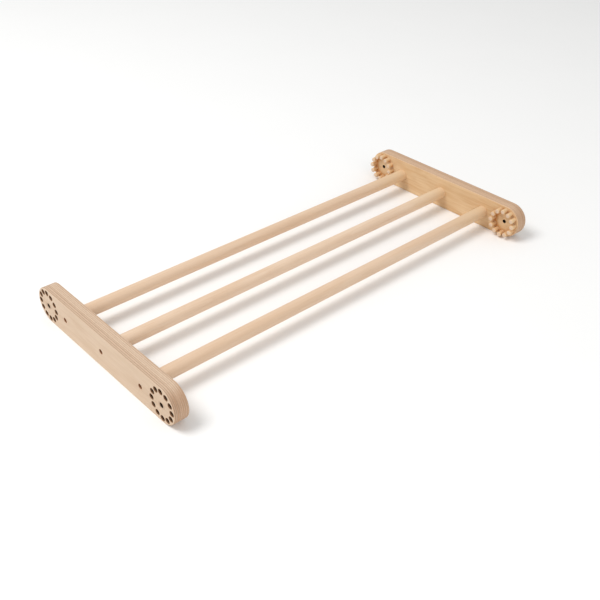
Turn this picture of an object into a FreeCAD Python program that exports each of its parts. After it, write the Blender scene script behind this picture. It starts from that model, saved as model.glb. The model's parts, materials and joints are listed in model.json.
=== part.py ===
import FreeCAD, Part
import math
import os
import Sketcher

# One section of a modular wooden climbing ladder, lying flat.
#
# Two plywood rails with rounded ends hold three round rungs between them. The hole
# rail has a ring of blind peg holes at each end of its outer face. The peg rail has
# a ring of pegs at each end of its inner face. A second section, turned end for end,
# plugs onto either end of this one, and the even spacing of the ring sets the angle
# between the two. A bolt through the centres of the rings holds them together.
#
# Frame: +X runs along the rungs, from the hole rail to the peg rail. +Y runs along
# the rails, from the front end to the back end. +Z is up. The origin is the middle
# of the section, on the surface that it lies on.
#
# Every rail, rung, peg and screw is drawn about its own X axis, lying in the
# YZ plane, and is then put in its place.

SHEET = "sizes"

# Driving dimensions in millimetres, apart from the counts.
SIZES = {
    "rail_length": 360,
    "rail_width": 60,
    "rail_thickness": 24,
    "rail_edge_round": 1.5,
    "rung_count": 3,
    "rung_clear": 735,
    "rung_diameter": 22,
    "rung_spacing": 100,
    "rung_seat": 10,
    "ring_offset": 150,
    "ring_diameter": 46,
    "ring_count": 12,
    "peg_hole_diameter": 9.5,
    "peg_hole_depth": 14,
    "peg_diameter": 8.5,
    "peg_reach": 12,
    "peg_tip_round": 1.5,
    "peg_seat_diameter": 9.5,
    "peg_seat_depth": 10,
    "bolt_hole_diameter": 7,
    "bolt_mouth_diameter": 9,
    "screw_recess_diameter": 8.5,
    "screw_recess_depth": 6,
    "screw_hole_diameter": 5.5,
    "screw_head_diameter": 8,
    "screw_head_height": 3,
    "screw_head_chamfer": 0.6,
    "screw_shank_diameter": 5,
    "screw_shank_length": 50,
    "screw_tip_length": 5,
    "screw_key_flats": 4,
    "screw_key_depth": 2,
    "pilot_spare": 2,
}

BOLT_MOUTH_ANGLE = 90
HEXAGON_SIDES = 6
VOLUME_TOLERANCE = 1e-4
PLANE_TOLERANCE = 1e-4

# Distances that follow from the driving dimensions.
OUTER_FACE = "(sizes.rung_clear / 2 + sizes.rail_thickness)"
INNER_FACE = "(sizes.rung_clear / 2)"
MID_HEIGHT = "(sizes.rail_width / 2)"
RUNG_END = "(sizes.rung_clear / 2 + sizes.rung_seat)"
SCREW_HEAD_TOP = "(" + OUTER_FACE + " - sizes.screw_recess_depth + sizes.screw_head_height)"
SCREW_NECK = "(sizes.rail_thickness - sizes.rung_seat - sizes.screw_recess_depth)"
SCREW_REACH = "(sizes.screw_shank_length - " + SCREW_NECK + ")"

# The two ends of the section, and the side of the middle that each is on.
ENDS = {"front": -1, "back": 1}
RUNGS = {"front": -1, "middle": 0, "back": 1}


def make_sheet(doc):
    """Put the driving dimensions in a spreadsheet, each under its own name."""
    sheet = doc.addObject("Spreadsheet::Sheet", SHEET)
    for row, (name, value) in enumerate(SIZES.items(), start=1):
        sheet.set("A%d" % row, name)
        sheet.set("B%d" % row, str(value))
        sheet.setAlias("B%d" % row, name)
    doc.recompute()
    return sheet


def value(owner, expression):
    """Work out an expression of sheet sizes as a plain number."""
    return float(owner.evalExpression(expression))


# ---- sketches ---------------------------------------------------------------


def make_sketch(body, name, plane="YZ_Plane", across="0", along="0"):
    """Start a sketch on one of the body's own planes.

    On the YZ plane the sketch's x is +Y and its normal is +X, so `across` moves it
    along the rail and `along` moves it through the thickness.
    """
    sketch = body.newObject("Sketcher::SketchObject", name)
    support = next(item for item in body.Origin.OriginFeatures if item.Role == plane)
    sketch.AttachmentSupport = [(support, "")]
    sketch.MapMode = "FlatFace"
    sketch.setExpression("AttachmentOffset.Base.x", across)
    sketch.setExpression("AttachmentOffset.Base.z", along)
    return sketch


def bind(sketch, kind, *where, to):
    """Add a dimension to a sketch and tie it to an expression of sheet sizes."""
    index = sketch.addConstraint(Sketcher.Constraint(kind, *where, value(sketch, to)))
    sketch.setExpression("Constraints[%d]" % index, to)


def add_circle(sketch, diameter, across=None):
    """Draw a circle on the sketch's x axis, `across` from its origin."""
    start = value(sketch, across) if across else 0
    radius = value(sketch, diameter) / 2
    circle = Part.Circle(FreeCAD.Vector(start, 0, 0), FreeCAD.Vector(0, 0, 1), radius)
    index = sketch.addGeometry(circle, False)
    bind(sketch, "Diameter", index, to=diameter)
    if across:
        sketch.addConstraint(Sketcher.Constraint("PointOnObject", index, 3, -1))
        bind(sketch, "DistanceX", -1, 1, index, 3, to=across)
    else:
        sketch.addConstraint(Sketcher.Constraint("Coincident", index, 3, -1, 1))


def add_round_ended_bar(sketch, length, width):
    """Draw a bar with full round ends, centred on the sketch's origin."""
    radius = value(sketch, width) / 2
    centre = value(sketch, length) / 2 - radius
    up = FreeCAD.Vector(0, 0, 1)
    quarter = math.pi / 2
    right_end = Part.Circle(FreeCAD.Vector(centre, 0, 0), up, radius)
    left_end = Part.Circle(FreeCAD.Vector(-centre, 0, 0), up, radius)
    top, right, bottom, left = sketch.addGeometry([
        Part.LineSegment(FreeCAD.Vector(-centre, radius, 0), FreeCAD.Vector(centre, radius, 0)),
        Part.ArcOfCircle(right_end, -quarter, quarter),
        Part.LineSegment(FreeCAD.Vector(centre, -radius, 0), FreeCAD.Vector(-centre, -radius, 0)),
        Part.ArcOfCircle(left_end, quarter, 3 * quarter),
    ], False)
    sketch.addConstraint([
        Sketcher.Constraint("Tangent", top, 2, right, 2),
        Sketcher.Constraint("Tangent", right, 1, bottom, 1),
        Sketcher.Constraint("Tangent", bottom, 2, left, 2),
        Sketcher.Constraint("Tangent", left, 1, top, 1),
        Sketcher.Constraint("Equal", right, left),
        Sketcher.Constraint("Symmetric", left, 3, right, 3, -1, 1),
        Sketcher.Constraint("PointOnObject", right, 3, -1),
    ])
    bind(sketch, "Radius", right, to=width + " / 2")
    bind(sketch, "DistanceX", left, 3, right, 3, to=length + " - " + width)


def add_profile(sketch, corners):
    """Draw a closed outline whose corners are pairs of expressions, or None for zero."""
    points = []
    for across, up in corners:
        x = value(sketch, across) if across else 0
        y = value(sketch, up) if up else 0
        points.append(FreeCAD.Vector(x, y, 0))
    ends = points[1:] + points[:1]
    lines = [Part.LineSegment(start, end) for start, end in zip(points, ends)]
    sketch.addGeometry(lines, False)
    for index, (across, up) in enumerate(corners):
        following = (index + 1) % len(corners)
        sketch.addConstraint(Sketcher.Constraint("Coincident", index, 2, following, 1))
        if across and up:
            bind(sketch, "DistanceX", -1, 1, index, 1, to=across)
            bind(sketch, "DistanceY", -1, 1, index, 1, to=up)
        elif across:
            sketch.addConstraint(Sketcher.Constraint("PointOnObject", index, 1, -1))
            bind(sketch, "DistanceX", -1, 1, index, 1, to=across)
        elif up:
            sketch.addConstraint(Sketcher.Constraint("PointOnObject", index, 1, -2))
            bind(sketch, "DistanceY", -1, 1, index, 1, to=up)
        else:
            sketch.addConstraint(Sketcher.Constraint("Coincident", index, 1, -1, 1))


def add_hexagon(sketch, flats):
    """Draw a regular hexagon about the sketch's origin, `flats` across."""
    radius = value(sketch, flats) / math.sqrt(3)
    turn = 2 * math.pi / HEXAGON_SIDES
    points = [
        FreeCAD.Vector(radius * math.cos(turn * step), radius * math.sin(turn * step), 0)
        for step in range(HEXAGON_SIDES + 1)
    ]
    lines = [Part.LineSegment(start, end) for start, end in zip(points, points[1:])]
    circle = Part.Circle(FreeCAD.Vector(0, 0, 0), FreeCAD.Vector(0, 0, 1), radius)
    sketch.addGeometry(lines, False)
    outer = sketch.addGeometry(circle, True)
    sketch.addConstraint(Sketcher.Constraint("Coincident", outer, 3, -1, 1))
    for side in range(HEXAGON_SIDES):
        following = (side + 1) % HEXAGON_SIDES
        sketch.addConstraint(Sketcher.Constraint("Coincident", side, 2, following, 1))
        sketch.addConstraint(Sketcher.Constraint("PointOnObject", side, 1, outer))
        if side:
            sketch.addConstraint(Sketcher.Constraint("Equal", 0, side))
    sketch.addConstraint(Sketcher.Constraint("PointOnObject", 0, 1, -1))
    bind(sketch, "Diameter", outer, to="2 * " + flats + " / sqrt(3)")


# ---- features ---------------------------------------------------------------


def make_pad(body, name, sketch, length, symmetric=False):
    pad = body.newObject("PartDesign::Pad", name)
    pad.Profile = sketch
    pad.SideType = "Symmetric" if symmetric else "One side"
    pad.setExpression("Length", length)
    return pad


def make_pocket(body, name, sketch, depth, towards_x):
    """Cut a sketch `depth` deep, towards +X or towards -X."""
    pocket = body.newObject("PartDesign::Pocket", name)
    pocket.Profile = sketch
    pocket.Reversed = towards_x
    pocket.setExpression("Length", depth)
    return pocket


def make_revolution(body, name, sketch):
    """Turn a sketch right round its own x axis."""
    turned = body.newObject("PartDesign::Revolution", name)
    turned.Profile = sketch
    turned.ReferenceAxis = (sketch, ["H_Axis"])
    turned.Angle = 360
    return turned


def make_ring(body, name, feature, sketch):
    """Repeat a feature round the ring, about its sketch's own normal."""
    pattern = body.newObject("PartDesign::PolarPattern", name)
    pattern.Originals = [feature]
    pattern.Axis = (sketch, ["N_Axis"])
    pattern.Angle = 360
    pattern.setExpression("Occurrences", "sizes.ring_count")
    body.Tip = pattern
    return pattern


def make_row(body, name, feature, sketch):
    """Repeat a feature for each rung, from the front rung back."""
    pattern = body.newObject("PartDesign::LinearPattern", name)
    pattern.Originals = [feature]
    pattern.Direction = (sketch, ["H_Axis"])
    pattern.setExpression("Length", "sizes.rung_spacing * (sizes.rung_count - 1)")
    pattern.setExpression("Occurrences", "sizes.rung_count")
    body.Tip = pattern
    return pattern


def flat_edges(shape, *levels):
    """Name the edges that lie whole in the planes x = level."""
    names = []
    for index, edge in enumerate(shape.Edges, start=1):
        box = edge.BoundBox
        for level in levels:
            if abs(box.XMin - level) < PLANE_TOLERANCE and abs(box.XMax - level) < PLANE_TOLERANCE:
                names.append("Edge%d" % index)
    return names


def check_cut(body, before, removed, what):
    """Stop unless a cut has removed the volume that it should."""
    body.Document.recompute()
    actual = before - body.Shape.Volume
    if abs(actual - removed) > VOLUME_TOLERANCE * removed + VOLUME_TOLERANCE:
        raise ValueError("%s in %s removed %.3f, not %.3f" % (what, body.Label, actual, removed))
    return body.Shape.Volume


def cylinder_volume(owner, diameter, depth):
    return math.pi * value(owner, diameter) ** 2 / 4 * value(owner, depth)


# ---- sub-parts --------------------------------------------------------------


def make_body(doc, label):
    body = doc.addObject("PartDesign::Body", label)
    body.Label = label
    return body


def place(body, x, y, z, turned=False):
    """Put a body in its place. A turned one points its own +X along -X."""
    half_turn = 180 if turned else 0
    rotation = FreeCAD.Rotation(FreeCAD.Vector(0, 0, 1), half_turn)
    body.Placement = FreeCAD.Placement(FreeCAD.Vector(0, 0, 0), rotation)
    body.setExpression("Placement.Base.x", x)
    body.setExpression("Placement.Base.y", y)
    body.setExpression("Placement.Base.z", z)


def make_bolt_hole(body, name, sketch, away, countersunk):
    """Drill a bolt hole right through, `away` from its sketch towards +X or back.

    Returns the volume that the hole should take out of the board.
    """
    hole = body.newObject("PartDesign::Hole", name)
    hole.Profile = sketch
    hole.Reversed = away
    hole.DepthType = "ThroughAll"
    hole.setExpression("Diameter", "sizes.bolt_hole_diameter")
    if not countersunk:
        return cylinder_volume(body, "sizes.bolt_hole_diameter", "sizes.rail_thickness")
    hole.HoleCutType = "Countersink"
    hole.HoleCutCustomValues = True
    hole.setExpression("HoleCutDiameter", "sizes.bolt_mouth_diameter")
    hole.HoleCutCountersinkAngle = BOLT_MOUTH_ANGLE
    mouth = value(body, "sizes.bolt_mouth_diameter / 2")
    bore = value(body, "sizes.bolt_hole_diameter / 2")
    depth = (mouth - bore) / math.tan(math.radians(BOLT_MOUTH_ANGLE / 2))
    cone = math.pi * depth / 3 * (mouth ** 2 + mouth * bore + bore ** 2)
    return cone + math.pi * bore ** 2 * (value(body, "sizes.rail_thickness") - depth)


def make_rail(doc, label, ring_inside, ring_diameter, ring_depth):
    """Make a rail with its outer face at x = 0 and its inner face towards +X.

    `ring_inside` puts the rings on the inner face rather than on the outer one, where
    the bolt holes have countersunk mouths too.
    """
    body = make_body(doc, label)
    face = "sizes.rail_thickness" if ring_inside else "0"

    outline = make_sketch(body, label + "_outline")
    add_round_ended_bar(outline, "sizes.rail_length", "sizes.rail_width")
    board = make_pad(body, label + "_board", outline, "sizes.rail_thickness")
    doc.recompute()

    eased = body.newObject("PartDesign::Fillet", label + "_eased_edges")
    thickness = value(board, "sizes.rail_thickness")
    eased.Base = (board, flat_edges(board.Shape, 0, thickness))
    eased.setExpression("Radius", "sizes.rail_edge_round")
    doc.recompute()
    volume = body.Shape.Volume

    for end, side in ENDS.items():
        centre = "%d * sizes.ring_offset" % side
        sketch = make_sketch(body, "%s_ring_%s" % (label, end), across=centre, along=face)
        add_circle(sketch, ring_diameter, across="sizes.ring_diameter / 2")
        hole = make_pocket(body, "%s_ring_%s_hole" % (label, end), sketch, ring_depth, not ring_inside)
        make_ring(body, "%s_ring_%s_holes" % (label, end), hole, sketch)
        one = cylinder_volume(body, ring_diameter, ring_depth)
        volume = check_cut(body, volume, one * value(body, "sizes.ring_count"), "ring of holes")

    for end, side in ENDS.items():
        centre = "%d * sizes.ring_offset" % side
        sketch = make_sketch(body, "%s_bolt_%s" % (label, end), across=centre, along=face)
        add_circle(sketch, "sizes.bolt_hole_diameter")
        doc.recompute()
        name = "%s_bolt_%s_hole" % (label, end)
        removed = make_bolt_hole(body, name, sketch, not ring_inside, not ring_inside)
        volume = check_cut(body, volume, removed, "bolt hole")

    first = "-sizes.rung_spacing * (sizes.rung_count - 1) / 2"
    seats = make_sketch(body, label + "_rung_seats", across=first, along="sizes.rail_thickness")
    add_circle(seats, "sizes.rung_diameter")
    seat = make_pocket(body, label + "_rung_seat", seats, "sizes.rung_seat", False)
    make_row(body, label + "_rung_seat_row", seat, seats)
    rungs = value(body, "sizes.rung_count")
    one = cylinder_volume(body, "sizes.rung_diameter", "sizes.rung_seat")
    volume = check_cut(body, volume, one * rungs, "row of rung seats")

    screws = make_sketch(body, label + "_screws", across=first)
    add_circle(screws, "sizes.screw_hole_diameter")
    doc.recompute()
    hole = body.newObject("PartDesign::Hole", label + "_screw_hole")
    hole.Profile = screws
    hole.Reversed = True
    hole.DepthType = "ThroughAll"
    hole.setExpression("Diameter", "sizes.screw_hole_diameter")
    hole.HoleCutType = "Counterbore"
    hole.HoleCutCustomValues = True
    hole.setExpression("HoleCutDiameter", "sizes.screw_recess_diameter")
    hole.setExpression("HoleCutDepth", "sizes.screw_recess_depth")
    make_row(body, label + "_screw_hole_row", hole, screws)
    recess = cylinder_volume(body, "sizes.screw_recess_diameter", "sizes.screw_recess_depth")
    one = recess + cylinder_volume(body, "sizes.screw_hole_diameter", SCREW_NECK)
    check_cut(body, volume, one * rungs, "row of screw holes")
    return body


def make_rung(doc, label):
    """Make a rung about its own middle, with a pilot hole in each end."""
    body = make_body(doc, label)
    section = make_sketch(body, label + "_section")
    add_circle(section, "sizes.rung_diameter")
    make_pad(body, label + "_rod", section, "2 * " + RUNG_END, symmetric=True)
    doc.recompute()
    volume = body.Shape.Volume
    pilot = SCREW_REACH + " + sizes.pilot_spare"
    for end, side in (("left", -1), ("right", 1)):
        face = "%d * %s" % (side, RUNG_END)
        sketch = make_sketch(body, "%s_pilot_%s" % (label, end), along=face)
        add_circle(sketch, "sizes.screw_shank_diameter")
        make_pocket(body, "%s_pilot_%s_hole" % (label, end), sketch, pilot, side < 0)
        one = cylinder_volume(body, "sizes.screw_shank_diameter", pilot)
        volume = check_cut(body, volume, one, "pilot hole")
    return body


def make_peg(doc, label):
    """Make a peg with its rounded free end at x = 0 and its thicker, glued end towards +X."""
    body = make_body(doc, label)
    profile = make_sketch(body, label + "_profile", plane="XY_Plane")
    free = "sizes.peg_diameter / 2"
    seat = "sizes.peg_seat_diameter / 2"
    length = "sizes.peg_reach + sizes.peg_seat_depth"
    add_profile(profile, [
        (None, None),
        (None, free),
        ("sizes.peg_reach", free),
        ("sizes.peg_reach", seat),
        (length, seat),
        (length, None),
    ])
    turned = make_revolution(body, label + "_turned", profile)
    doc.recompute()
    tip = body.newObject("PartDesign::Fillet", label + "_free_end")
    tip.Base = (turned, flat_edges(turned.Shape, 0))
    tip.setExpression("Radius", "sizes.peg_tip_round")
    return body


def make_screw(doc, label):
    """Make a rung screw with the top of its head at x = 0 and its point towards +X."""
    body = make_body(doc, label)
    profile = make_sketch(body, label + "_profile", plane="XY_Plane")
    head = "sizes.screw_head_diameter / 2"
    shank = "sizes.screw_shank_diameter / 2"
    tip = "sizes.screw_head_height + sizes.screw_shank_length"
    add_profile(profile, [
        (None, None),
        (None, head + " - sizes.screw_head_chamfer"),
        ("sizes.screw_head_chamfer", head),
        ("sizes.screw_head_height", head),
        ("sizes.screw_head_height", shank),
        (tip + " - sizes.screw_tip_length", shank),
        (tip, None),
    ])
    make_revolution(body, label + "_turned", profile)
    doc.recompute()
    volume = body.Shape.Volume
    key = make_sketch(body, label + "_key")
    add_hexagon(key, "sizes.screw_key_flats")
    make_pocket(body, label + "_key_socket", key, "sizes.screw_key_depth", True)
    area = math.sqrt(3) / 2 * value(body, "sizes.screw_key_flats") ** 2
    check_cut(body, volume, area * value(body, "sizes.screw_key_depth"), "key socket")
    return body


# ---- the section ------------------------------------------------------------


def make_rails(doc):
    hole_rail = make_rail(doc, "hole_rail", False, "sizes.peg_hole_diameter", "sizes.peg_hole_depth")
    place(hole_rail, "-" + OUTER_FACE, "0", MID_HEIGHT)
    peg_rail = make_rail(doc, "peg_rail", True, "sizes.peg_seat_diameter", "sizes.peg_seat_depth")
    place(peg_rail, OUTER_FACE, "0", MID_HEIGHT, turned=True)
    return [hole_rail, peg_rail]


def make_rungs(doc):
    bodies = []
    for name, step in RUNGS.items():
        rung = make_rung(doc, "rung_" + name)
        place(rung, "0", "%d * sizes.rung_spacing" % step, MID_HEIGHT)
        bodies.append(rung)
    return bodies


def make_pegs(doc):
    """Number each ring's pegs from the one nearest the back end, turning upwards."""
    bodies = []
    for end, side in ENDS.items():
        for step in range(SIZES["ring_count"]):
            peg = make_peg(doc, "peg_%s_%02d" % (end, step + 1))
            turn = "(360 deg / sizes.ring_count * %d)" % step
            across = "%d * sizes.ring_offset + sizes.ring_diameter / 2 * cos%s" % (side, turn)
            up = MID_HEIGHT + " + sizes.ring_diameter / 2 * sin" + turn
            place(peg, INNER_FACE + " - sizes.peg_reach", across, up)
            bodies.append(peg)
    return bodies


def make_screws(doc):
    bodies = []
    for rail, side in (("hole_rail", -1), ("peg_rail", 1)):
        for name, step in RUNGS.items():
            screw = make_screw(doc, "screw_%s_%s" % (rail, name))
            across = "%d * sizes.rung_spacing" % step
            place(screw, "%d * %s" % (side, SCREW_HEAD_TOP), across, MID_HEIGHT, turned=side > 0)
            bodies.append(screw)
    return bodies


def check(doc, bodies):
    """Stop if any object of the document has failed, or any sub-part is unsound."""
    doc.recompute()
    for item in doc.Objects:
        if "Invalid" in item.State or "Error" in item.State:
            raise ValueError("%s failed: %s" % (item.Label, item.State))
    for body in bodies:
        shape = body.Shape
        if shape.isNull() or not shape.isValid() or len(shape.Solids) != 1:
            raise ValueError("%s has no sound solid" % body.Label)


def main():
    doc = FreeCAD.newDocument("climbing_ladder_section")
    make_sheet(doc)
    bodies = make_rails(doc) + make_rungs(doc) + make_pegs(doc) + make_screws(doc)
    check(doc, bodies)
    os.makedirs("parts", exist_ok=True)
    for body in bodies:
        body.Shape.exportStep("parts/%s.step" % body.Label)
        box = body.Shape.BoundBox
        corners = (box.XMin, box.XMax, box.YMin, box.YMax, box.ZMin, box.ZMax)
        print("%-26s %10.1f mm3 " % (body.Label, body.Shape.Volume) + "%8.2f" * 6 % corners)


main()
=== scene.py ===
import json
import math

import bmesh
import bpy
from mathutils import Matrix, Vector


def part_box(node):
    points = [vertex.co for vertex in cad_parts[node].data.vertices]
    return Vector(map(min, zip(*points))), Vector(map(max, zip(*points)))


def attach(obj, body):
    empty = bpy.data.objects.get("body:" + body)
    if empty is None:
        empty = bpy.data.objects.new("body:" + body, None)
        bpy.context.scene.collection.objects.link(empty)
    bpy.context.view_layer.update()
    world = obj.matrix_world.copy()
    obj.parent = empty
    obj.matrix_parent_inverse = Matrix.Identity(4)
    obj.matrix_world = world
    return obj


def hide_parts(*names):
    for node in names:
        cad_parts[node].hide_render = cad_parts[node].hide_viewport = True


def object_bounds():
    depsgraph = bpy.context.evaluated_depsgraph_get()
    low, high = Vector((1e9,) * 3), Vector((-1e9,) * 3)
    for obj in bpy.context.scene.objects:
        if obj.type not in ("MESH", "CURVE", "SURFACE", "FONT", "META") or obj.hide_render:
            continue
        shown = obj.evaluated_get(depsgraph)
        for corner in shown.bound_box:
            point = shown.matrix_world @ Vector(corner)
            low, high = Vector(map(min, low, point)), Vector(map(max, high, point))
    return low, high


bl_info = {
    "name": "Climbing Ladder Section",
    "version": (1, 0, 0),
    "blender": (4, 5, 0),
    "location": "3D View > Sidebar > Ladder",
    "description": "Makes the plywood rails, rungs, pegs and screws of a modular climbing ladder section",
    "category": "Add Mesh",
}

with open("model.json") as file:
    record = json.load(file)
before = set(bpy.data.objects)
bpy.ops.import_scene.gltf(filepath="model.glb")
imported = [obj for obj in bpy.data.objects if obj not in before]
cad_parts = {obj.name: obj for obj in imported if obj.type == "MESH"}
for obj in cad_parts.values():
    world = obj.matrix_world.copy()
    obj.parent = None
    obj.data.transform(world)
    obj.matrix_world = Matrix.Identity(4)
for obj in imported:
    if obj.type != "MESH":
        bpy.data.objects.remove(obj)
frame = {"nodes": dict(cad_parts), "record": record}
CAD_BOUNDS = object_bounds()
MOUNTS = {mount["name"]: mount for mount in frame["record"]["mounts"]}

ENDS = ("front", "back")
RUNG_NAMES = ("rung_front", "rung_middle", "rung_back")
MILLIMETRE = 0.001
OVERCUT = 0.002
# Joints between plies, counted from a rail's outer face, where the glue shows most, and how much.
BOLD_JOINTS = ((1, 0.42), (3, 0.42), (6, 0.28))
# How much painted shade darkens each rail at its round ends.
PAINTED_END_SHADE = {"hole_rail": 0.30, "peg_rail": 0.14}

# Painted shade, warm as from light bounced among the pegs, lies about the circle through the pegs. These
# are distances outwards from that circle.
PEG_SHADE_STARTS, PEG_SHADE_IS_FULL = -0.012, -0.002
PEG_SHADE_THINS, PEG_SHADE_STOPS = 0.001, 0.005
PEG_SHADE_PAST_RING = 0.9
# The painted shade is stronger towards +Y: the reach to each side of a ring's middle, and the least that is
# left.
PEG_SHADE_SIDE_REACH = 0.02
PEG_SHADE_LEAST = 0.35
# A darker halo round the hole rail's bolt holes fades between these radii from this strength.
HALO_FULL, HALO_STOPS = 0.0035, 0.0065
HALO_AMOUNT = 0.30
# A distance along the grain counts for this share of itself, which draws the halo out along it.
HALO_STRETCH = 0.65

# Depths under a rail's face. The painted shade among the pegs ends between the first two.
FACE_STARTS, FACE_STOPS = 0.0002, 0.0006
# Past these a surface that faces sideways is the wall of a hole.
SKIN_STARTS, SKIN_STOPS = 0.0002, 0.0005
# Past these every surface is inside a hole, whichever way it faces.
HOLE_STARTS, HOLE_IS_SURE = 0.001, 0.0012
# The wall of a hole goes from the drilled brown to dark painted shade between these depths.
HOLE_SHADE_STARTS, HOLE_SHADE_IS_FULL = 0.0008, 0.0036
# The share of that painted shade that the recesses of the rung screws take.
RECESS_SHADE_SHARE = 0.2

# Growth rings of the rods, and how far they waver.
RINGS_PER_METRE = 330.0
RING_WAVER = 0.012
# Rods further than this from the middle one are of slightly darker wood.
OUTER_ROD_STARTS, OUTER_ROD_IS_SURE = 0.03, 0.07
OUTER_ROD_AMOUNT = 0.3
# Where the heart of the tree lay from the rods' axes, along Y and Z.
RUNG_PITH = (0.31, -0.22)
PEG_PITH = (0.27, 0.35)
# How far from the peg rail the rungs turn warmer, which is painted light bounced off the peg rail, and the
# pegs take painted shade, and how much.
RUNG_BOUNCE_REACH, RUNG_BOUNCE_AMOUNT = 0.14, 0.75
PEG_SHADE_REACH, PEG_SHADE_AMOUNT = 0.011, 0.8

# Steps that the rounded edges of rails and of rods are made with.
EDGE_ROUND_STEPS = 5
ROD_ROUND_STEPS = 4
# Rounding of a screw head's rim.
HEAD_ROUND = 0.0007
# A socket's bottom is a shallow cone that ends this many times as deep as its flats.
KEY_POINT = 1.3

KEY_LIGHT_PLACE = (-1.85, 1.2, 3.5)
KEY_LIGHT_SIZE = 1.8
FILL_LIGHT_PLACE = (-0.9, -2.6, 1.6)
FILL_LIGHT_SIZE = 2.0
# Half the floor's width, and the number of squares along each of its sides.
FLOOR_REACH = 8
FLOOR_PANES = 8

SMOOTH_ANGLE = math.radians(32)


def node_size(node):
    """The size of a CAD node along X, Y and Z."""
    low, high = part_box(node)
    return high - low


def node_middle(node):
    """The middle of a CAD node."""
    low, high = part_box(node)
    return (low + high) / 2


def srgb(red, green, blue):
    """A colour given as ordinary 0 to 255 values, as the linear values that a shader takes."""
    linear = []
    for channel in (red, green, blue):
        level = channel / 255
        linear.append(level / 12.92 if level <= 0.04045 else ((level + 0.055) / 1.055) ** 2.4)
    return tuple(linear)


# ---- settings that a user would change ---------------------------------------


def length_property(name, description, default):
    return bpy.props.FloatProperty(
        name=name, description=description, default=default, min=0, unit="LENGTH", precision=4)


def count_property(name, description, default, least, most):
    return bpy.props.IntProperty(
        name=name, description=description, default=default, min=least, max=most)


def angle_property(name, description, degrees):
    return bpy.props.FloatProperty(
        name=name, description=description, default=math.radians(degrees), unit="ROTATION")


def colour_property(name, description, default):
    return bpy.props.FloatVectorProperty(
        name=name, description=description, default=default, size=3, min=0, max=1, subtype="COLOR")


class LadderSizes(bpy.types.PropertyGroup):
    """Small sizes of the boards, holes, pegs and screws."""

    edge_round: length_property("Edge round", "Rounding along both edges of each rail", 0.0015)
    hole_ease: length_property("Hole ease", "Chamfer sanded round the mouth of each hole", 0.0002)
    peg_hole_depth: length_property("Peg hole depth", "Depth of each blind peg hole", 0.014)
    rung_seat: length_property("Rung seat", "Depth that a rung or a peg is set into its rail", 0.010)
    peg_round: length_property("Peg round", "Rounding of a peg's free end", 0.0015)
    bolt_mouth: length_property("Bolt mouth", "Radius of the hole rail's countersinks", 0.0045)
    recess_radius: length_property("Recess radius", "Radius of each screw's recess", 0.00425)
    recess_depth: length_property("Recess depth", "Depth of each screw's recess", 0.006)
    screw_hole: length_property("Screw hole", "Radius of the hole that a screw passes through", 0.00275)
    shank_radius: length_property("Shank radius", "Radius of a screw's shank", 0.0025)
    head_height: length_property("Head height", "Height of a screw's head", 0.003)
    key_flats: length_property("Key size", "Width across the flats of a screw's socket", 0.004)
    key_depth: length_property("Key depth", "Depth of a screw's socket", 0.002)
    round_steps: count_property("Round steps", "Sides that a hole or a peg is made with", 48, 12, 128)
    end_steps: count_property("End steps", "Sides that a rail's round end is made with", 72, 12, 180)
    ply_count: count_property("Plies", "Layers of veneer in a rail", 17, 3, 31)


class LadderColours(bpy.types.PropertyGroup):
    """Colours of the woods and the metal."""

    hole_veneer: colour_property("Hole rail veneer", "Face plies of the hole rail", srgb(216, 191, 165))
    hole_grain: colour_property("Hole rail grain", "Grain of the hole rail's faces", srgb(202, 172, 142))
    peg_veneer: colour_property("Peg rail veneer", "Face plies of the peg rail", srgb(224, 192, 151))
    peg_grain: colour_property("Peg rail grain", "Grain of the peg rail's faces", srgb(199, 155, 107))
    hole_core: colour_property("Hole rail core", "Side grain of the hole rail's plies", srgb(216, 192, 167))
    peg_core: colour_property("Peg rail core", "Side grain of the peg rail's plies", srgb(216, 184, 153))
    end_grain: colour_property("End grain", "Cut ends of the plies", srgb(180, 133, 96))
    glue: colour_property("Glue line", "Glue between the plies", srgb(130, 100, 77))
    rung: colour_property("Rung", "Wood of the rungs", srgb(232, 207, 182))
    rung_dark: colour_property("Rung grain", "Darker grain of the rungs", srgb(214, 178, 144))
    peg: colour_property("Peg", "Wood of the pegs", srgb(236, 205, 164))
    peg_dark: colour_property("Peg grain", "Darker grain of the pegs", srgb(216, 176, 128))
    peg_end: colour_property("Peg end", "Sanded end grain of the pegs", srgb(212, 188, 168))
    # Painted shade, warm as from light bounced among the pegs: on the peg rail's face among the pegs and on
    # the pegs near that face.
    painted_peg_shade: colour_property("Gathered oil", "Oil that has gathered between the pegs", srgb(190, 116, 8))
    # The drilled brown is partly browning by the drill and partly painted shade on the walls of holes. The
    # scorched colour is painted shade deep in the holes and in all of a bolt hole.
    drilled: colour_property("Drilled wood", "Wood browned near a hole's mouth", srgb(150, 110, 80))
    painted_hole_shade: colour_property("Scorched wood", "Wood scorched deep in a hole", srgb(30, 15, 5))
    zinc: colour_property("Zinc", "Yellow plating of the screws", srgb(236, 166, 84))
    floor: colour_property("Floor", "Studio floor", srgb(250, 250, 249))


class LadderStudio(bpy.types.PropertyGroup):
    """Camera and lights."""

    heading: angle_property("Heading", "Turn of the camera's view from +Y towards +X", 43.49)
    pitch: angle_property("Pitch", "Angle at which the camera looks down", 34.83)
    roll: angle_property("Roll", "Tilt of the camera about its own view", 1.54)
    lens: bpy.props.FloatProperty(
        name="Lens", description="Focal length of the lens", default=49.25, min=1, unit="CAMERA")
    place: bpy.props.FloatVectorProperty(
        name="Place", description="Where the camera is, from the middle of the section",
        default=(-0.81629, -0.85775, 0.73575), size=3, unit="LENGTH")
    sky: bpy.props.FloatProperty(
        name="Sky", description="Strength of the even light from all round", default=0.60, min=0)
    key_light: bpy.props.FloatProperty(
        name="Key light", description="Power of the large light overhead",
        default=92, min=0, unit="POWER")
    fill_light: bpy.props.FloatProperty(
        name="Fill light", description="Power of the soft light beside the camera",
        default=16, min=0, unit="POWER")


# ---- meshes -------------------------------------------------------------------


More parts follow.
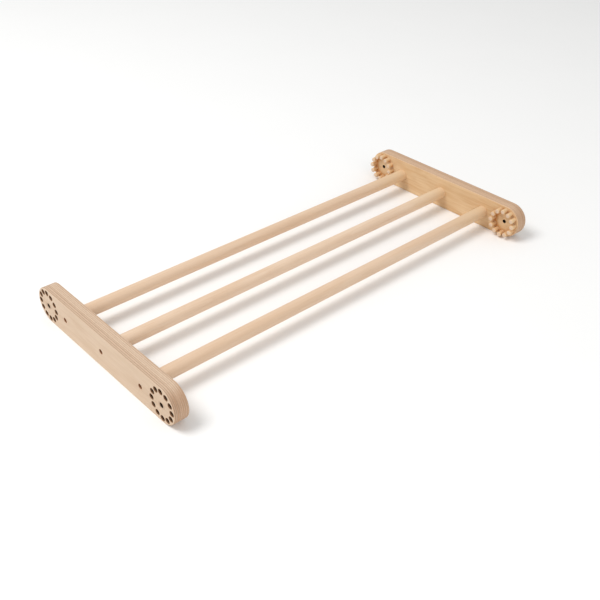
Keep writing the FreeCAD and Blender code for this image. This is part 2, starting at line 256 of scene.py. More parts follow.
def lathe(bm, profile, middle, steps):
    """Turn a profile of (x, radius) pairs about a line along X. It starts and ends on that line."""
    rings = []
    for x, radius in profile:
        if radius == 0:
            rings.append([bm.verts.new((x, middle.y, middle.z))])
            continue
        ring = []
        for step in range(steps):
            turn = 2 * math.pi * step / steps
            y = middle.y + radius * math.cos(turn)
            z = middle.z + radius * math.sin(turn)
            ring.append(bm.verts.new((x, y, z)))
        rings.append(ring)
    for first, second in zip(rings, rings[1:]):
        for step in range(steps):
            following = (step + 1) % steps
            if len(first) == 1:
                bm.faces.new((first[0], second[step], second[following]))
            elif len(second) == 1:
                bm.faces.new((first[step], second[0], first[following]))
            else:
                bm.faces.new((first[step], second[step], second[following], first[following]))


def rounding(size, steps):
    """How far in from an end face and from a side each point of a rounded corner is."""
    points = []
    for step in range(steps + 1):
        turn = math.pi / 2 * step / steps
        points.append((size * (1 - math.cos(turn)), size * (1 - math.sin(turn))))
    return points


def quarter_round(x, radius, size, towards):
    """Profile points that round a rod's end, from the end face out to the full radius."""
    return [(x + towards * forward, radius - inset) for forward, inset in rounding(size, ROD_ROUND_STEPS)]


def bar_outline(length, width, inset, end_steps):
    """Points round a bar with full round ends, drawn in from its edge by inset."""
    centre = (length - width) / 2
    radius = width / 2 - inset
    points = []
    for side in (1, -1):
        for step in range(end_steps + 1):
            turn = math.pi * (step / end_steps - 0.5)
            points.append((side * (centre + radius * math.cos(turn)), side * radius * math.sin(turn)))
    return points


def board(bm, low, high, edge_round, end_steps):
    """A board with full round ends and rounded edges that fills the box from low to high."""
    size = high - low
    middle = (low + high) / 2
    levels = [(low.x + forward, inset) for forward, inset in rounding(edge_round, EDGE_ROUND_STEPS)]
    levels += [(low.x + high.x - x, inset) for x, inset in reversed(levels)]
    rings = []
    for x, inset in levels:
        outline = bar_outline(size.y, size.z, inset, end_steps)
        rings.append([bm.verts.new((x, middle.y + y, middle.z + z)) for y, z in outline])
    for first, second in zip(rings, rings[1:]):
        for index in range(len(first)):
            following = (index + 1) % len(first)
            bm.faces.new((first[index], second[index], second[following], first[following]))
    bm.faces.new(rings[0])
    bm.faces.new(rings[-1])


def new_piece(name, build):
    """Make an object from a mesh that `build` draws, with its faces pointing outwards."""
    bm = bmesh.new()
    build(bm)
    bmesh.ops.recalc_face_normals(bm, faces=bm.faces)
    mesh = bpy.data.meshes.new(name)
    bm.to_mesh(mesh)
    bm.free()
    piece = bpy.data.objects.new(name, mesh)
    bpy.context.scene.collection.objects.link(piece)
    return piece


def cut(piece, cutter):
    """Take the cutter's shape out of the piece, and remove the cutter."""
    modifier = piece.modifiers.new("holes", "BOOLEAN")
    modifier.operation = "DIFFERENCE"
    modifier.solver = "EXACT"
    modifier.object = cutter
    graph = bpy.context.evaluated_depsgraph_get()
    result = bpy.data.meshes.new_from_object(piece.evaluated_get(graph))
    piece.modifiers.clear()
    old = piece.data
    piece.data = result
    result.name = piece.name
    bpy.data.meshes.remove(old)
    mesh = cutter.data
    bpy.data.objects.remove(cutter)
    bpy.data.meshes.remove(mesh)


def soften(piece):
    """Shade round faces smooth, keep corners crisp, and keep flat faces flat."""
    piece.data.shade_smooth()
    piece.data.set_sharp_from_angle(angle=SMOOTH_ANGLE)
    weighted = piece.modifiers.new("flat_faces", "WEIGHTED_NORMAL")
    weighted.keep_sharp = True
    weighted.weight = 100


def finish_piece(piece, node, material):
    """Fix a finished piece to the frame in place of its CAD node."""
    piece.data.materials.clear()
    piece.data.materials.append(material)
    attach(piece, "root")
    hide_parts(node)


# ---- node trees ----------------------------------------------------------------


class Shader:
    """Builds one material's node tree. A value is a number, a colour or another node's socket."""

    def __init__(self, name):
        self.material = bpy.data.materials.new(name)
        self.material.use_nodes = True
        self.tree = self.material.node_tree
        self.tree.nodes.clear()
        output = self.tree.nodes.new("ShaderNodeOutputMaterial")
        self.surface = self.tree.nodes.new("ShaderNodeBsdfPrincipled")
        self.tree.links.new(self.surface.outputs[0], output.inputs[0])
        coordinates = self.tree.nodes.new("ShaderNodeTexCoord")
        self.point = coordinates.outputs["Object"]
        self.normal = coordinates.outputs["Normal"]

    def fill(self, socket, value):
        """Link a socket to another one, or give it a constant."""
        if isinstance(value, bpy.types.NodeSocket):
            self.tree.links.new(value, socket)
        else:
            socket.default_value = value

    def math(self, operation, *values):
        node = self.tree.nodes.new("ShaderNodeMath")
        node.operation = operation
        for socket, value in zip(node.inputs, values):
            self.fill(socket, value)
        return node.outputs[0]

    def total(self, first, *others):
        for value in others:
            first = self.math("ADD", first, value)
        return first

    def product(self, first, *others):
        for value in others:
            first = self.math("MULTIPLY", first, value)
        return first

    def absolute(self, value):
        return self.math("ABSOLUTE", value)

    def distance(self, across, up):
        """The straight distance that two offsets at right angles make."""
        squared = self.math("MULTIPLY_ADD", across, across, self.math("MULTIPLY", up, up))
        return self.math("SQRT", squared)

    def split(self, vector):
        node = self.tree.nodes.new("ShaderNodeSeparateXYZ")
        self.fill(node.inputs[0], vector)
        return node.outputs[0], node.outputs[1], node.outputs[2]

    def join(self, x, y, z):
        node = self.tree.nodes.new("ShaderNodeCombineXYZ")
        for socket, value in zip(node.inputs, (x, y, z)):
            self.fill(socket, value)
        return node.outputs[0]

    def stretched(self, vector, *scale):
        node = self.tree.nodes.new("ShaderNodeVectorMath")
        node.operation = "MULTIPLY"
        self.fill(node.inputs[0], vector)
        node.inputs[1].default_value = scale
        return node.outputs[0]

    def noise(self, vector, detail=3.0, roughness=0.5, distortion=0.0):
        node = self.tree.nodes.new("ShaderNodeTexNoise")
        self.fill(node.inputs["Vector"], vector)
        node.inputs["Scale"].default_value = 1
        node.inputs["Detail"].default_value = detail
        node.inputs["Roughness"].default_value = roughness
        node.inputs["Distortion"].default_value = distortion
        return node.outputs[0]

    def spread(self, value, low, high, to_low=0.0, to_high=1.0):
        """Spread the values between low and high smoothly from to_low to to_high."""
        node = self.tree.nodes.new("ShaderNodeMapRange")
        node.interpolation_type = "SMOOTHSTEP"
        for socket, number in zip(node.inputs, (value, low, high, to_low, to_high)):
            self.fill(socket, number)
        return node.outputs[0]

    def blend(self, amount, first, second):
        """Go from the first colour to the second as the amount goes from 0 to 1."""
        node = self.tree.nodes.new("ShaderNodeMix")
        node.data_type = "RGBA"
        self.fill(node.inputs[0], amount)
        self.fill(node.inputs[6], opaque(first))
        self.fill(node.inputs[7], opaque(second))
        return node.outputs[2]

    def bump(self, height, distance, strength):
        node = self.tree.nodes.new("ShaderNodeBump")
        node.inputs["Strength"].default_value = strength
        node.inputs["Distance"].default_value = distance
        self.fill(node.inputs["Height"], height)
        return node.outputs[0]

    def finish(self, colour, roughness, normal, **others):
        """Set the surface's colour, roughness and bump, and other inputs by their names."""
        self.fill(self.surface.inputs["Base Color"], colour)
        self.fill(self.surface.inputs["Roughness"], roughness)
        self.fill(self.surface.inputs["Normal"], normal)
        for name, value in others.items():
            self.fill(self.surface.inputs[name.replace("_", " ")], value)
        return self.material


def opaque(colour):
    """A colour with full alpha, or a socket as it is."""
    if isinstance(colour, bpy.types.NodeSocket):
        return colour
    return (*tuple(colour)[:3], 1.0)


class Plywood(Shader):
    """Birch plywood whose plies lie parallel to a rail's faces, with every second ply turned."""

    def __init__(self, rail, sizes, colours):
        super().__init__(rail + "_plywood")
        low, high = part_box(rail)
        self.rail = rail
        self.sizes = sizes
        self.colours = colours
        self.ply_count = float(sizes.ply_count)
        self.ply = (high.x - low.x) / sizes.ply_count
        self.inner_face = min(abs(low.x), abs(high.x))
        self.end_radius = (high.z - low.z) / 2
        self.end_centre = high.y - self.end_radius

        self.x, self.y, self.z = self.split(self.point)
        self.from_centre = self.absolute(self.y)
        self.off_middle = self.math("SUBTRACT", self.z, (low.z + high.z) / 2)
        normal_x, normal_y, normal_z = self.split(self.normal)
        self.facing = self.absolute(normal_x)
        self.out_along = self.absolute(normal_y)
        self.out_across = self.absolute(normal_z)

        # How many plies deep a point is, with even plies and with plies that are a little uneven.
        from_inner = self.math("SUBTRACT", self.absolute(self.x), self.inner_face)
        self.straight = self.math("DIVIDE", from_inner, self.ply)
        uneven = self.noise(self.stretched(self.point, 0.8 / self.ply, 0.35, 0.35), detail=1)
        depth = self.total(self.straight, self.spread(uneven, 0.25, 0.75, -0.35, 0.35))
        depth = self.math("MAXIMUM", depth, 0.01)
        self.depth = self.math("MINIMUM", depth, self.ply_count - 0.01)
        self.from_face = self.math(
            "MINIMUM", self.straight, self.math("SUBTRACT", self.ply_count, self.straight))
        self.below = self.product(self.from_face, self.ply)

        self.fibres = self.noise(
            self.stretched(self.point, 900, 26, 900), detail=5, roughness=0.62, distortion=0.25)
        self.patches = self.noise(self.stretched(self.point, 520, 22, 22), detail=3, roughness=0.6)
        self.pores = self.noise(self.stretched(self.point, 2600, 2600, 2600), detail=2)

    def face_colour(self, veneer, grain):
        """Fine fibres along the rail, long soft streaks and a slow figure."""
        streaks = self.noise(
            self.stretched(self.point, 300, 7, 190), detail=4, roughness=0.6, distortion=0.5)
        figure = self.noise(
            self.stretched(self.point, 30, 8, 30), detail=3, roughness=0.55, distortion=1.4)
        dark = self.total(
            self.spread(self.fibres, 0.35, 0.75, 0, 0.30),
            self.spread(figure, 0.35, 0.7, 0, 0.42),
            self.spread(streaks, 0.42, 0.75, 0, 0.42))
        return self.blend(dark, veneer, grain)

    def end_grain(self, layer):
        """A ply shows end grain where its fibres come out of the cut surface."""
        turned = self.math("MODULO", layer, 2.0)
        change = self.math("SUBTRACT", self.out_across, self.out_along)
        toward = self.math("MULTIPLY_ADD", change, turned, self.out_along)
        return self.spread(toward, 0.2, 0.95)

    def edge_colour(self, core, layer, end_grain):
        """Each ply has a tone of its own, broken into short dashes by its pores."""
        tone = self.noise(self.join(self.product(layer, 7.31), 0.0, 0.0), detail=0)
        shown = self.noise(self.join(self.product(layer, 3.77), 4.0, 0.0), detail=0)
        dashes = self.noise(self.stretched(self.point, 1500, 240, 240), detail=3, roughness=0.65)
        end_amount = self.product(
            end_grain,
            self.spread(self.patches, 0.3, 0.7, 0.5, 0.95),
            self.spread(shown, 0.3, 0.7, 0.55, 1.0))
        # Painted shade darkens every ply where the surface faces along the rail, on the round ends.
        end_shade = self.spread(self.out_along, 0.15, 0.9, 0, PAINTED_END_SHADE[self.rail])
        end_amount = self.math("MULTIPLY_ADD", end_amount, 0.62, end_shade)
        colour = self.blend(end_amount, core, self.colours.end_grain)
        colour = self.blend(self.spread(tone, 0.3, 0.7, 0, 0.22), colour, self.colours.end_grain)
        colour = self.blend(self.spread(dashes, 0.48, 0.72, 0, 0.30), colour, self.colours.glue)
        pore_amount = self.product(end_grain, self.spread(self.pores, 0.5, 0.75, 0, 0.35))
        return self.blend(pore_amount, colour, self.colours.glue)

    def add_painted_peg_shade(self, colour):
        """Painted shade, warm as from light bounced among the pegs, on the peg rail's face among the pegs,
        stronger towards +Y.
        """
        ring = MOUNTS["pegs_back"]
        ring_y, ring_z = ring["pos_m"][1:]
        ring_radius = ring["dims"]["pcd_mm"] * MILLIMETRE / 2
        off_y = self.math("SUBTRACT", self.from_centre, ring_y)
        off_z = self.math("SUBTRACT", self.z, ring_z)
        from_ring = self.math("SUBTRACT", self.distance(off_y, off_z), ring_radius)
        inwards = self.spread(from_ring, PEG_SHADE_STARTS, PEG_SHADE_IS_FULL)
        outwards = self.spread(from_ring, PEG_SHADE_THINS, PEG_SHADE_STOPS, PEG_SHADE_PAST_RING, 0)
        on_face = self.spread(
            self.x, self.inner_face + FACE_STARTS, self.inner_face + FACE_STOPS, 1, 0)
        middle = self.product(self.math("SIGN", self.y), ring_y)
        run = self.spread(self.math("SUBTRACT", self.y, middle), -PEG_SHADE_SIDE_REACH, PEG_SHADE_SIDE_REACH, PEG_SHADE_LEAST, 1)
        return self.blend(self.product(inwards, outwards, on_face, run), colour, self.colours.painted_peg_shade)

    def add_bolt_halo(self, colour, on_edge):
        """Round the hole rail's bolt holes the veneer is a little darker, in a halo drawn out along the
        grain.
        """
        bolt_y, bolt_z = MOUNTS["bolt_hole_hole_rail_back"]["pos_m"][1:]
        off_y = self.product(self.math("SUBTRACT", self.from_centre, bolt_y), HALO_STRETCH)
        off_z = self.math("SUBTRACT", self.z, bolt_z)
        halo = self.spread(
            self.distance(off_y, off_z), HALO_FULL, HALO_STOPS, HALO_AMOUNT, 0)
        on_face = self.math("SUBTRACT", 1.0, on_edge)
        return self.blend(self.product(halo, on_face), colour, self.colours.glue)

    def glue_line(self):
        """Where the glue between two plies shows, which is never on the outer faces."""
        in_ply = self.absolute(self.math("SUBTRACT", self.math("FRACT", self.depth), 0.5))
        return self.product(
            self.spread(in_ply, 0.40, 0.49), self.spread(self.from_face, 0.3, 0.6))

    def add_glue(self, colour, glue):
        amount = self.product(glue, self.spread(self.patches, 0.3, 0.7, 0.10, 0.32))
        colour = self.blend(amount, colour, self.colours.glue)
        from_outer = self.math("SUBTRACT", self.ply_count, self.depth)
        for joint, strength in BOLD_JOINTS:
            off_joint = self.absolute(self.math("SUBTRACT", from_outer, float(joint)))
            shown = self.spread(off_joint, 0.08, 0.42, strength, 0)
            colour = self.blend(shown, colour, self.colours.glue)
        return colour

    def in_hole(self):
        """Wood inside a hole lies under the face and well in from the rail's outline."""
        past_centre = self.math("SUBTRACT", self.from_centre, self.end_centre)
        past_centre = self.math("MAXIMUM", past_centre, 0.0)
        from_rim = self.math(
            "SUBTRACT", self.end_radius, self.distance(past_centre, self.off_middle))
        rim = self.sizes.edge_round
        within = self.spread(from_rim, rim * 1.1, rim * 1.5)
        wall = self.product(
            self.spread(self.below, SKIN_STARTS, SKIN_STOPS),
            self.spread(self.facing, 0.75, 0.9, 1, 0))
        deep = self.spread(self.below, HOLE_STARTS, HOLE_IS_SURE)
        return self.product(within, self.math("MAXIMUM", wall, deep))

    def hole_wall_colour(self):
        """A hole's wall: brown at the mouth, partly from the drill and partly painted shade, then dark
        painted shade in its depth, and dark painted shade in all of a bolt hole.
        """
        bolt = MOUNTS["bolt_hole_%s_back" % self.rail]
        off_bolt = self.math("SUBTRACT", self.from_centre, bolt["pos_m"][1])
        reach = bolt["dims"]["r_mm"] * MILLIMETRE * 1.5
        in_bolt = self.spread(self.distance(off_bolt, self.off_middle), reach, reach * 1.1, 1, 0)
        # Painted shade darkens a hole's wall with depth, and all of a bolt hole; the screw recesses take
        # only a share of it.
        hole_shade = self.math("MAXIMUM", self.spread(self.below, HOLE_SHADE_STARTS, HOLE_SHADE_IS_FULL), in_bolt)
        last_screw = node_middle("rung_back").y + 2 * self.sizes.recess_radius
        past_screws = self.spread(self.from_centre, last_screw, last_screw * 1.05, RECESS_SHADE_SHARE, 1)
        return self.blend(
            self.product(hole_shade, past_screws), self.colours.drilled, self.colours.painted_hole_shade)


def plywood(rail, sizes, colours, veneer, grain, core):
    """The finished plywood of one rail."""
    ply = Plywood(rail, sizes, colours)
    layer = ply.math("FLOOR", ply.depth)
    end_grain = ply.end_grain(layer)
    on_edge = ply.spread(ply.facing, 0.55, 0.97, 1, 0)
    colour = ply.blend(
        on_edge, ply.face_colour(veneer, grain), ply.edge_colour(core, layer, end_grain))
    if rail == "peg_rail":
        colour = ply.add_painted_peg_shade(colour)
    else:
        colour = ply.add_bolt_halo(colour, on_edge)
    glue = ply.glue_line()
    colour = ply.add_glue(colour, glue)
    # The walls of holes take the drilled brown, partly painted shade, and the painted shade deep in the
    # holes.
    drilled = ply.in_hole()
    colour = ply.blend(ply.product(drilled, 0.95), colour, ply.hole_wall_colour())

    rough = ply.total(ply.spread(ply.fibres, 0.3, 0.8, 0.46, 0.58), ply.product(end_grain, 0.12))
    height = ply.math("SUBTRACT", ply.fibres, ply.product(glue, 0.5))
    height = ply.math("SUBTRACT", height, ply.product(ply.pores, end_grain, 0.6))
    gloss = ply.math("MULTIPLY_ADD", drilled, -0.33, 0.38)
    return ply.finish(colour, rough, ply.bump(height, 0.00012, 0.45), Specular_IOR_Level=gloss)


def rod_wood(name, pale, dark, end, pith, painted_tint, tint_reach, tint_amount, painted_shade_below=False):
    """Straight-grained pale wood whose grain runs along X, with rings about a distant pith.

    It takes on the `painted_tint` colour by degrees over `tint_reach` before the peg rail's inner face:
    painted light bounced off the peg rail on the rungs, and painted shade on the pegs, mostly on the
    underside if `painted_shade_below` is set.
    """
    shader = Shader(name)
    x, y, z = shader.split(shader.point)
    normal_x, _, normal_z = shader.split(shader.normal)
    end_grain = shader.spread(shader.absolute(normal_x), 0.6, 0.95)

    waver = shader.noise(shader.stretched(shader.point, 3.2, 30, 30), detail=2)
    off_pith = shader.distance(
        shader.math("SUBTRACT", y, pith[0]), shader.math("SUBTRACT", z, pith[1]))
    off_pith = shader.total(off_pith, shader.product(waver, RING_WAVER))
    ring = shader.math("FRACT", shader.product(off_pith, RINGS_PER_METRE))
    late_wood = shader.spread(ring, 0.35, 0.98)
    fibres = shader.noise(shader.stretched(shader.point, 30, 1100, 1100), detail=5, roughness=0.6)
    flecks = shader.noise(shader.stretched(shader.point, 260, 2200, 2200), detail=2)
    figure = shader.noise(shader.stretched(shader.point, 5, 42, 42), detail=3, distortion=0.8)
    amount = shader.total(
        shader.product(late_wood, 0.16),
        shader.spread(fibres, 0.4, 0.75, 0, 0.26),
        shader.spread(figure, 0.35, 0.7, 0, 0.36),
        shader.spread(flecks, 0.62, 0.72, 0, 0.30))
    colour = shader.blend(shader.math("MINIMUM", amount, 1.0), pale, dark)

    outer = shader.spread(
        shader.absolute(y), OUTER_ROD_STARTS, OUTER_ROD_IS_SURE, 0, OUTER_ROD_AMOUNT)
    colour = shader.blend(outer, colour, dark)
    face = rail_faces("peg_rail")[1]
    # Near the peg rail's face: painted light bounced off the peg rail on the rungs, painted shade on the
    # pegs.
    tinted = shader.spread(x, face - tint_reach, face, 0, tint_amount)
    # Painted shade on the pegs falls mostly on their undersides.
    if painted_shade_below:
        tinted = shader.product(tinted, shader.spread(normal_z, -0.3, 0.6, 1, 0.12))
    colour = shader.blend(tinted, colour, painted_tint)

    specks = shader.noise(shader.stretched(shader.point, 2200, 2200, 2200), detail=2)
    end_colour = shader.blend(shader.spread(specks, 0.45, 0.7, 0, 0.5), end, dark)
    colour = shader.blend(shader.product(end_grain, 0.85), colour, end_colour)
    rough = shader.total(
        shader.spread(fibres, 0.3, 0.8, 0.44, 0.56), shader.product(end_grain, 0.14))
    normal = shader.bump(shader.total(fibres, shader.product(flecks, 0.5)), 0.0001, 0.5)
    return shader.finish(colour, rough, normal, Specular_IOR_Level=0.32)


def plated_steel(name, zinc):
    """Yellow zinc plate, a little uneven in colour and brushed round the head."""
    shader = Shader(name)
    cloud = shader.noise(shader.stretched(shader.point, 420, 420, 420), detail=3)
    scuffs = shader.noise(shader.stretched(shader.point, 900, 6000, 6000), detail=3, roughness=0.6)
    worn = tuple(min(1.0, channel * 1.5 + 0.06) for channel in zinc)
    colour = shader.blend(shader.spread(cloud, 0.35, 0.7), zinc, worn)
    rough = shader.spread(scuffs, 0.3, 0.75, 0.42, 0.62)
    normal = shader.bump(scuffs, 0.00004, 0.4)
    return shader.finish(colour, rough, normal, Metallic=0.7)


def studio_floor(name, colour):
    """Matt white paper with the faintest mottle."""
    shader = Shader(name)
    mottle = shader.noise(shader.stretched(shader.point, 6, 6, 6), detail=2)
    grey = tuple(channel * 0.985 for channel in colour)
    shade = shader.blend(mottle, colour, grey)
    normal = shader.bump(shader.noise(shader.stretched(shader.point, 900, 900, 900)), 0.00002, 0.2)
    return shader.finish(shade, 0.85, normal, Specular_IOR_Level=0.15)


# ---- pieces ---------------------------------------------------------------------


def ring_places(mount_name):
    """The middles of the holes or pegs of a ring, in order."""
    mount = MOUNTS[mount_name]
    middle = Vector(mount["pos_m"])
    radius = mount["dims"]["pcd_mm"] * MILLIMETRE / 2
    count = mount["dims"]["count"]
    places = []
    for step in range(count):
        turn = 2 * math.pi * step / count
        places.append(middle + Vector((0, radius * math.cos(turn), radius * math.sin(turn))))
    return places


def hole_profile(mouth, depth, radius, ease, into):
    """A blind hole that starts at x = mouth and goes `into` +1 or -1, with an eased mouth."""
    return [
        (mouth - into * OVERCUT, 0),
        (mouth - into * OVERCUT, radius + ease),
        (mouth, radius + ease),
        (mouth + into * ease, radius),
        (mouth + into * depth, radius),
        (mouth + into * depth, 0),
    ]


def through_profile(mouth, exit_face, radius, mouth_radius, ease, into):
    """A through hole with a 45 degree mouth and an eased exit."""
    sink = mouth_radius - radius
    return [
        (mouth - into * OVERCUT, 0),
        (mouth - into * OVERCUT, mouth_radius),
        (mouth, mouth_radius),
        (mouth + into * sink, radius),
        (exit_face - into * ease, radius),
        (exit_face, radius + ease),
        (exit_face + into * OVERCUT, radius + ease),
        (exit_face + into * OVERCUT, 0),
    ]


def rung_seat_profile(outer, inner, inwards, rung_radius, sizes):
    """A screw's recess and hole from the outer face, and the rung's seat from the inner one."""
    seat_floor = inner - inwards * sizes.rung_seat
    return [
        (outer - inwards * OVERCUT, 0),
        (outer - inwards * OVERCUT, sizes.recess_radius + sizes.hole_ease),
        (outer, sizes.recess_radius + sizes.hole_ease),
        (outer + inwards * sizes.hole_ease, sizes.recess_radius),
        (outer + inwards * sizes.recess_depth, sizes.recess_radius),
        (outer + inwards * sizes.recess_depth, sizes.screw_hole),
        (seat_floor, sizes.screw_hole),
        (seat_floor, rung_radius),
        (inner + inwards * OVERCUT, rung_radius),
        (inner + inwards * OVERCUT, 0),
    ]


def rail_faces(rail):
    """The x of a rail's outer face and inner face, and the direction from the first to the second."""
    low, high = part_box(rail)
    if low.x < 0:
        return low.x, high.x, 1
    return high.x, low.x, -1


def rail_cutter(bm, rail, sizes):
    """Every hole of a rail, as one set of solids to take away."""
    outer, inner, inwards = rail_faces(rail)
    steps = sizes.round_steps
    has_pegs = rail == "peg_rail"
    ring_face, other_face = (inner, outer) if has_pegs else (outer, inner)
    into = -inwards if has_pegs else inwards
    for end in ENDS:
        if has_pegs:
            radius = node_size("peg_%s_01" % end).z / 2
            profile = hole_profile(ring_face, sizes.rung_seat, radius, sizes.hole_ease / 2, into)
            places = ring_places("pegs_" + end)
        else:
            radius = MOUNTS["peg_holes_" + end]["dims"]["hole_r_mm"] * MILLIMETRE
            profile = hole_profile(ring_face, sizes.peg_hole_depth, radius, sizes.hole_ease, into)
            places = ring_places("peg_holes_" + end)
        for place in places:
            lathe(bm, profile, place, steps)
        bolt = MOUNTS["bolt_hole_%s_%s" % (rail, end)]
        bore = bolt["dims"]["r_mm"] * MILLIMETRE
        mouth = bore + sizes.hole_ease if has_pegs else sizes.bolt_mouth
        profile = through_profile(ring_face, other_face, bore, mouth, sizes.hole_ease, into)
        lathe(bm, profile, Vector(bolt["pos_m"]), steps)
    for rung in RUNG_NAMES:
        profile = rung_seat_profile(outer, inner, inwards, node_size(rung).z / 2, sizes)
        lathe(bm, profile, node_middle(rung), steps)


def make_rail(rail, sizes, material):
    low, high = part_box(rail)
    piece = new_piece(
        rail + "_board", lambda bm: board(bm, low, high, sizes.edge_round, sizes.end_steps))
    cut(piece, new_piece(rail + "_cutter", lambda bm: rail_cutter(bm, rail, sizes)))
    soften(piece)
    finish_piece(piece, rail, material)


def make_rung(rung, sizes, material):
    low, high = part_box(rung)
    middle = node_middle(rung)
    radius = (high.z - low.z) / 2
    pilot = sizes.shank_radius
    place = rung.split("_")[1]
    left_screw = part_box("screw_hole_rail_" + place)[1].x + OVERCUT
    right_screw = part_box("screw_peg_rail_" + place)[0].x - OVERCUT
    ease = sizes.hole_ease
    profile = [(left_screw, 0), (left_screw, pilot), (low.x, pilot)]
    profile += quarter_round(low.x, radius, ease, 1)
    profile += reversed(quarter_round(high.x, radius, ease, -1))
    profile += [(high.x, pilot), (right_screw, pilot), (right_screw, 0)]
    piece = new_piece(rung + "_rod", lambda bm: lathe(bm, profile, middle, 2 * sizes.round_steps))
    soften(piece)
    finish_piece(piece, rung, material)


def make_peg(node, mount, sizes, material):
    low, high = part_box(node)
    middle = node_middle(node)
    free = mount["dims"]["stud_r_mm"] * MILLIMETRE
    seat = (high.z - low.z) / 2
    face = rail_faces("peg_rail")[1]
    profile = [(low.x, 0)]
    profile += quarter_round(low.x, free, sizes.peg_round, 1)
    profile += [(face, free), (face, seat), (high.x, seat), (high.x, 0)]
    piece = new_piece(node + "_turned", lambda bm: lathe(bm, profile, middle, sizes.round_steps))
    soften(piece)
    finish_piece(piece, node, material)


def make_screw(node, sizes, material):
    low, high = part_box(node)
    middle = node_middle(node)
    into = 1 if middle.x < 0 else -1
    top, point = (low.x, high.x) if into > 0 else (high.x, low.x)
    head = (high.z - low.z) / 2
    under = top + into * sizes.head_height
    profile = [(top, 0)]
    profile += quarter_round(top, head, HEAD_ROUND, into)
    profile += [
        (under, head),
        (under, sizes.shank_radius),
        (point - into * 2 * sizes.shank_radius, sizes.shank_radius),
        (point, 0),
    ]
    piece = new_piece(node + "_turned", lambda bm: lathe(bm, profile, middle, sizes.round_steps))
    corner = sizes.key_flats / math.sqrt(3)
    key = [
        (top - into * OVERCUT, 0),
        (top - into * OVERCUT, corner),
        (top + into * sizes.key_depth, corner),
        (top + into * sizes.key_depth * KEY_POINT, 0),
    ]
    cut(piece, new_piece(node + "_key", lambda bm: lathe(bm, key, middle, 6)))
    soften(piece)
    finish_piece(piece, node, material)


# ---- stage ------------------------------------------------------------------------


def make_floor(colours):
    floor = new_piece("studio_floor", lambda bm: bmesh.ops.create_grid(
        bm, x_segments=FLOOR_PANES, y_segments=FLOOR_PANES, size=FLOOR_REACH))
    floor.data.materials.append(studio_floor("studio_paper", colours.floor))


def make_light(name, place, size, power):
    """A large soft square light that points at the section."""
    lamp = bpy.data.lights.new(name, "AREA")
    lamp.shape = "SQUARE"
    lamp.size = size
    lamp.energy = power
    light = bpy.data.objects.new(name, lamp)
    bpy.context.scene.collection.objects.link(light)
    light.location = place
    light.rotation_euler = (-Vector(place)).to_track_quat("-Z", "Y").to_euler()


def make_sky(strength):
    world = bpy.data.worlds.new("studio_sky")
    world.use_nodes = True
    background = world.node_tree.nodes["Background"]
    background.inputs["Color"].default_value = (1, 1, 1, 1)
    background.inputs["Strength"].default_value = strength
    bpy.context.scene.world = world


def make_camera(studio):
    heading, pitch, roll = studio.heading, studio.pitch, studio.roll
    forward = Vector((
        math.sin(heading) * math.cos(pitch), math.cos(heading) * math.cos(pitch), -math.sin(pitch)))
    level = Vector((math.cos(heading), -math.sin(heading), 0))
    over = level.cross(forward)
    right = math.cos(roll) * level + math.sin(roll) * over
    up = -math.sin(roll) * level + math.cos(roll) * over
    lens = bpy.data.cameras.new("studio_camera")
    lens.lens = studio.lens
    lens.clip_start = 0.05
    lens.clip_end = 50
    camera = bpy.data.objects.new("studio_camera", lens)
    bpy.context.scene.collection.objects.link(camera)
    low, high = CAD_BOUNDS
    place = (low + high) / 2 + Vector(studio.place)
    turn = Matrix((right, up, -forward)).transposed().to_4x4()
    camera.matrix_world = Matrix.Translation(place) @ turn
    bpy.context.scene.camera = camera


# ---- operators ----------------------------------------------------------------------


class LADDER_OT_stage(bpy.types.Operator):
    """Make the floor, the lights and the camera"""

    bl_idname = "ladder.stage"
    bl_label = "Stage"

    def execute(self, context):
        scene = context.scene
        studio = scene.ladder_studio
        make_floor(scene.ladder_colours)
        make_sky(studio.sky)
        make_light("key_light", KEY_LIGHT_PLACE, KEY_LIGHT_SIZE, studio.key_light)
        make_light("fill_light", FILL_LIGHT_PLACE, FILL_LIGHT_SIZE, studio.fill_light)
        make_camera(studio)
        scene.view_settings.view_transform = "Standard"
        return {"FINISHED"}


class LADDER_OT_rails(bpy.types.Operator):
    """Make both plywood rails with all their holes"""

    bl_idname = "ladder.rails"
    bl_label = "Rails"

    def execute(self, context):
        sizes = context.scene.ladder_sizes
        colours = context.scene.ladder_colours
        woods = {
            "hole_rail": (colours.hole_veneer, colours.hole_grain, colours.hole_core),
            "peg_rail": (colours.peg_veneer, colours.peg_grain, colours.peg_core),
        }
        for rail, (veneer, grain, core) in woods.items():
            make_rail(rail, sizes, plywood(rail, sizes, colours, veneer, grain, core))
        return {"FINISHED"}


class LADDER_OT_rungs(bpy.types.Operator):
    """Make the three round rungs"""

    bl_idname = "ladder.rungs"
    bl_label = "Rungs"

    def execute(self, context):
        colours = context.scene.ladder_colours
        # Near the peg rail the rungs turn towards its veneer colour: painted light bounced off the peg
        # rail.
        material = rod_wood(
            "rung_beech", colours.rung, colours.rung_dark, colours.rung_dark, RUNG_PITH,
            colours.peg_veneer, RUNG_BOUNCE_REACH, RUNG_BOUNCE_AMOUNT)
        for rung in RUNG_NAMES:
            make_rung(rung, context.scene.ladder_sizes, material)
        return {"FINISHED"}


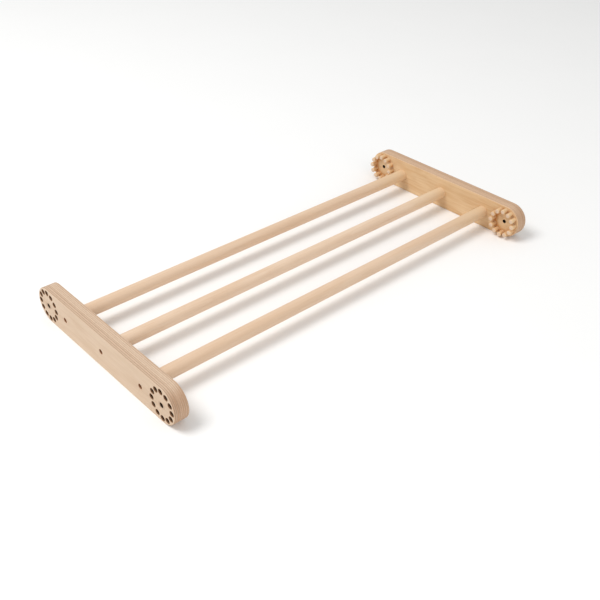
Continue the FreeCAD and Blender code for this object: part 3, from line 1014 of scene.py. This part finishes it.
class LADDER_OT_pegs(bpy.types.Operator):
    """Make both rings of pegs"""

    bl_idname = "ladder.pegs"
    bl_label = "Pegs"

    def execute(self, context):
        colours = context.scene.ladder_colours
        # Near the peg rail the pegs take painted shade, mostly on their undersides.
        material = rod_wood(
            "peg_beech", colours.peg, colours.peg_dark, colours.peg_end, PEG_PITH,
            colours.painted_peg_shade, PEG_SHADE_REACH, PEG_SHADE_AMOUNT, painted_shade_below=True)
        for end in ENDS:
            mount = MOUNTS["pegs_" + end]
            for number in range(1, mount["dims"]["count"] + 1):
                make_peg("peg_%s_%02d" % (end, number), mount, context.scene.ladder_sizes, material)
        return {"FINISHED"}


class LADDER_OT_screws(bpy.types.Operator):
    """Make the screws that hold the rungs"""

    bl_idname = "ladder.screws"
    bl_label = "Screws"

    def execute(self, context):
        material = plated_steel("yellow_zinc", tuple(context.scene.ladder_colours.zinc))
        for node in sorted(frame["nodes"]):
            if node.startswith("screw_"):
                make_screw(node, context.scene.ladder_sizes, material)
        return {"FINISHED"}


class LADDER_PT_panel(bpy.types.Panel):
    """Buttons and settings of the ladder section"""

    bl_label = "Ladder Section"
    bl_idname = "LADDER_PT_panel"
    bl_space_type = "VIEW_3D"
    bl_region_type = "UI"
    bl_category = "Ladder"

    def draw(self, context):
        for operator in OPERATORS:
            self.layout.operator(operator.bl_idname)
        scene = context.scene
        for group in (scene.ladder_sizes, scene.ladder_colours, scene.ladder_studio):
            box = self.layout.box()
            for name in group.bl_rna.properties.keys():
                if name not in ("rna_type", "name"):
                    box.prop(group, name)


OPERATORS = (LADDER_OT_stage, LADDER_OT_rails, LADDER_OT_rungs, LADDER_OT_pegs, LADDER_OT_screws)
CLASSES = (LadderSizes, LadderColours, LadderStudio, *OPERATORS, LADDER_PT_panel)


def register():
    for item in CLASSES:
        bpy.utils.register_class(item)
    bpy.types.Scene.ladder_sizes = bpy.props.PointerProperty(type=LadderSizes)
    bpy.types.Scene.ladder_colours = bpy.props.PointerProperty(type=LadderColours)
    bpy.types.Scene.ladder_studio = bpy.props.PointerProperty(type=LadderStudio)


def unregister():
    del bpy.types.Scene.ladder_studio
    del bpy.types.Scene.ladder_colours
    del bpy.types.Scene.ladder_sizes
    for item in reversed(CLASSES):
        bpy.utils.unregister_class(item)


def main():
    register()
    bpy.ops.ladder.stage()
    bpy.ops.ladder.rails()
    bpy.ops.ladder.rungs()
    bpy.ops.ladder.pegs()
    bpy.ops.ladder.screws()


if __name__ == "__main__":
    main()
